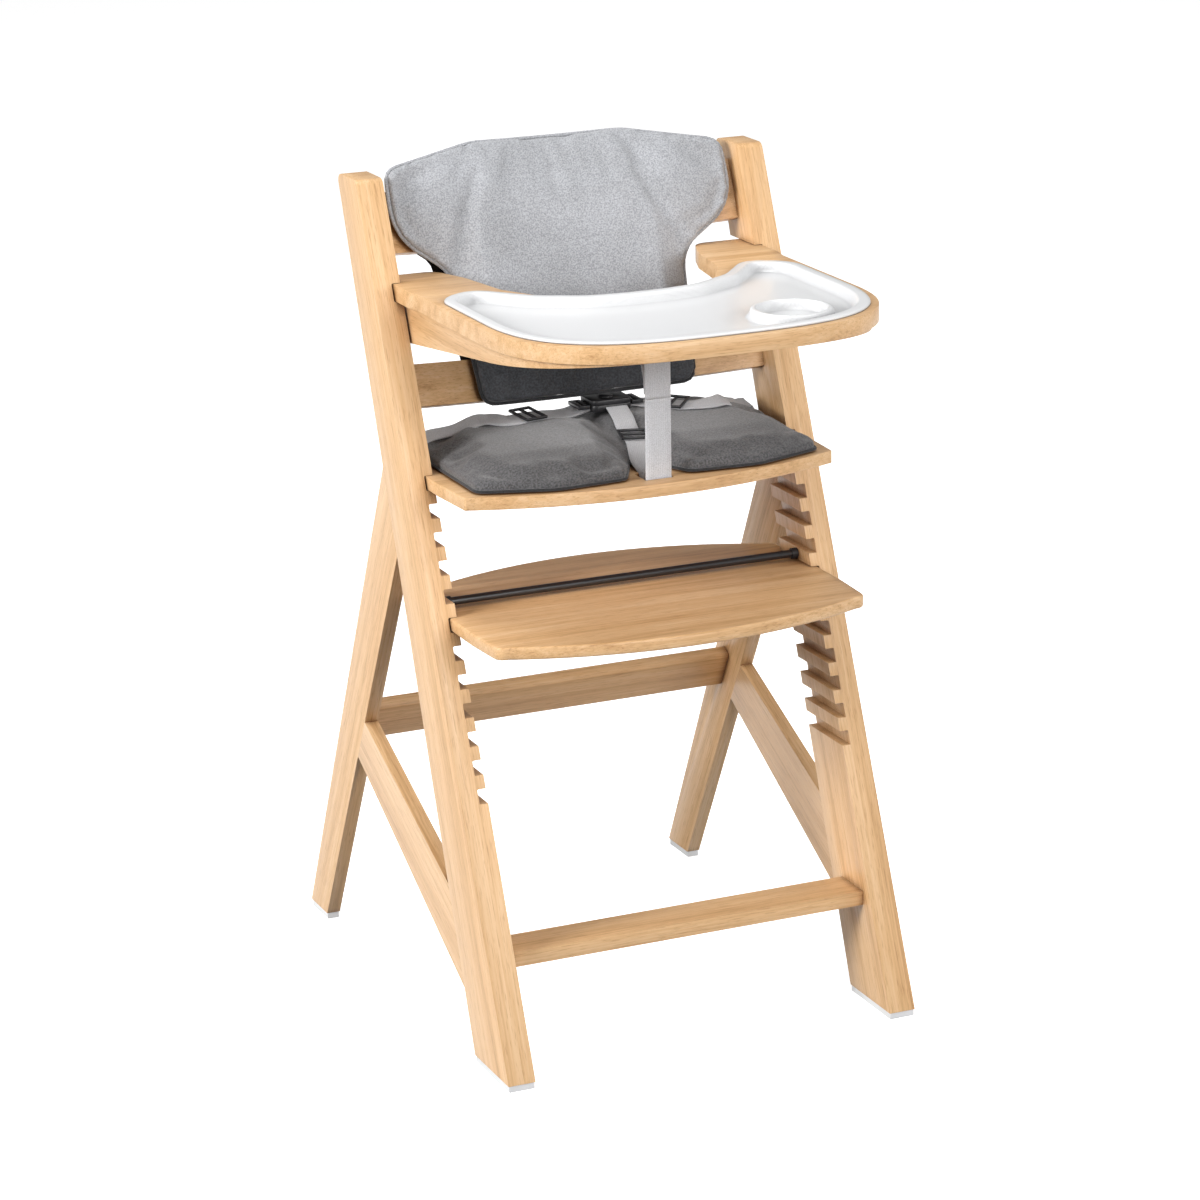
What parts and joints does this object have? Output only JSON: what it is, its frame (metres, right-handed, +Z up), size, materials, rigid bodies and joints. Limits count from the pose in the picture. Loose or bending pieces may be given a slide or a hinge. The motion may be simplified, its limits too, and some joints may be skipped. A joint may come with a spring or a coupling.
{
  "type": "baby high chair",
  "caption": "Wooden high chair with leaning grooved side frames, height-adjustable seat and footrest boards, sliding tray with plastic insert, pads and harness.",
  "frame": {"origin": "on the floor, at the centre of the chair's footprint box", "axes": "+X to the viewer's right when facing the chair, +Y backwards (the child faces -Y), +Z up"},
  "size_m": [0.486, 0.679, 0.9421],
  "materials": {
    "oak": "clear satin lacquer",
    "dowel_wood": "raw",
    "black_steel": "satin black",
    "steel": "zinc plated",
    "glide_plastic": "matte",
    "white_plastic": "gloss",
    "black_plastic": "satin moulded",
    "seat_fabric": "fine woven, matte",
    "back_fabric": "fine woven, matte",
    "sleeve_fabric": "fine woven, matte",
    "webbing": "ribbed webbing"
  },
  "bodies": {
    "frame": {"left_upright": "oak", "right_upright": "oak", "left_rear_leg": "oak", "right_rear_leg": "oak", "left_brace": "oak", "right_brace": "oak", "front_crossbar": "oak", "rear_crossbar": "oak", "upper_back_slat": "oak", "lower_back_slat": "oak", "front_crossbar_dowels": "dowel_wood", "rear_crossbar_dowels": "dowel_wood", "back_slat_dowels": "dowel_wood", "side_frame_dowels": "dowel_wood", "footrest_tie_rod": "black_steel", "tie_rod_collars": "black_plastic", "left_front_glide": "glide_plastic", "right_front_glide": "glide_plastic", "left_rear_glide": "glide_plastic", "right_rear_glide": "glide_plastic", "glide_screws": "steel", "back_cushion": "back_fabric", "back_cushion_sleeve": "sleeve_fabric"},
    "seat": {"seat_board": "oak", "strap_retainers": "black_plastic", "seat_cushion": "seat_fabric", "crotch_strap": "webbing", "left_waist_strap": "webbing", "right_waist_strap": "webbing", "buckle_body": "black_plastic", "buckle_cover": "black_plastic", "button_spring": "steel", "tray_strap": "webbing"},
    "footrest": {"footrest_board": "oak"},
    "tray": {"tray_board": "oak", "tray_left_rail": "oak", "tray_right_rail": "oak", "tray_rail_screws": "steel", "tray_strap_plate": "black_plastic", "tray_strap_screws": "steel"},
    "insert": {"tray_insert": "white_plastic"},
    "button": {"buckle_button": "black_plastic"},
    "left_tongue": {"left_tongue": "black_plastic"},
    "right_tongue": {"right_tongue": "black_plastic"},
    "left_slider": {"left_slider": "black_plastic"},
    "right_slider": {"right_slider": "black_plastic"},
    "crotch_slider": {"crotch_slider": "black_plastic"}
  },
  "joints": [
    {"name": "tray_slide", "type": "slide", "parent": "frame", "child": "tray", "axis": [0, -1, 0], "range_m": [0, 0.042]},
    {"name": "insert_lift", "type": "slide", "parent": "tray", "child": "insert", "axis": [0, 0, 1], "range_m": [0, 0.04]},
    {"name": "seat_slide", "type": "slide", "parent": "frame", "child": "seat", "axis": [0, -1, 0], "range_m": [-0.02, 0.04]},
    {"name": "footrest_slide", "type": "slide", "parent": "frame", "child": "footrest", "axis": [0, -1, 0], "range_m": [-0.03, 0.04]},
    {"name": "button_press", "type": "slide", "parent": "seat", "child": "button", "axis": [0, 0, -1], "range_m": [0, 0.002], "stiffness_N_per_m": 400, "springref_m": -0.003, "deforming": ["button_spring"]},
    {"name": "left_tongue_pull", "type": "slide", "parent": "seat", "child": "left_tongue", "axis": [-1, 0, 0], "range_m": [0, 0.016]},
    {"name": "right_tongue_pull", "type": "slide", "parent": "seat", "child": "right_tongue", "axis": [1, 0, 0], "range_m": [0, 0.016]},
    {"name": "left_slider_adjust", "type": "slide", "parent": "seat", "child": "left_slider", "axis": [0.9524, 0.3048, 0], "range_m": [-0.008, 0.008]},
    {"name": "right_slider_adjust", "type": "slide", "parent": "seat", "child": "right_slider", "axis": [0.7459, -0.666, 0], "range_m": [-0.008, 0.008]},
    {"name": "crotch_slider_adjust", "type": "slide", "parent": "seat", "child": "crotch_slider", "axis": [-0.156, -0.9878, 0], "range_m": [-0.012, 0.012]}
  ]
}
